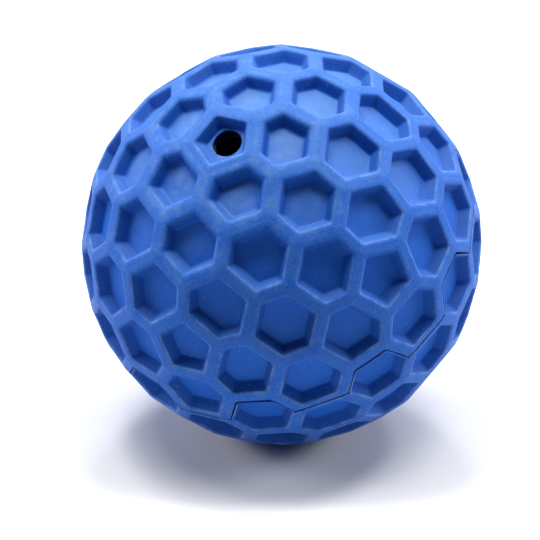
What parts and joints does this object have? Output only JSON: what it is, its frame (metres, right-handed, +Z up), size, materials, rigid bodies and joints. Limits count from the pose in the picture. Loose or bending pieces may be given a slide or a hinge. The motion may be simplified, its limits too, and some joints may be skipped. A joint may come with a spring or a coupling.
{
  "type": "squeaky rubber dog ball",
  "caption": "Hollow blue rubber dog ball with deep honeycomb dimples, two bonded halves with a stepped seam, and a reed squeaker behind a round hole.",
  "frame": {"origin": "on the surface the ball stands on, straight below the ball's centre", "axes": "+Z up, normal to the dimple rim the ball stands on; the squeak hole faces up and towards -Y and -X, and -Y is the side the picture was taken from"},
  "size_m": [0.0698, 0.0688, 0.0686],
  "materials": {
    "shell_rubber": "matte moulded rubber, slightly dusty on the ridges",
    "squeaker_plastic": null,
    "reed_film": "thin stiff film"
  },
  "bodies": {
    "lower_half": {"lower_shell": "shell_rubber"},
    "upper_half": {"upper_shell": "shell_rubber", "squeaker_barrel": "squeaker_plastic", "squeaker_cap": "squeaker_plastic", "reed_seat": "squeaker_plastic", "reed_clamp": "squeaker_plastic"},
    "reed": {"reed": "reed_film"}
  },
  "joints": [
    {"name": "squeeze", "type": "slide", "parent": "lower_half", "child": "upper_half", "axis": [0, 0, -1], "range_m": [0, 0.01], "stiffness_N_per_m": 3000, "deforming": ["lower_shell", "upper_shell"]},
    {"name": "reed_flex", "type": "hinge", "parent": "upper_half", "child": "reed", "pos_m": [-0.00724, -0.01306, 0.05385], "axis": [-0.3853, -0.695, -0.6071], "range_deg": [-2, 6], "stiffness_Nm_per_rad": 0.002}
  ]
}
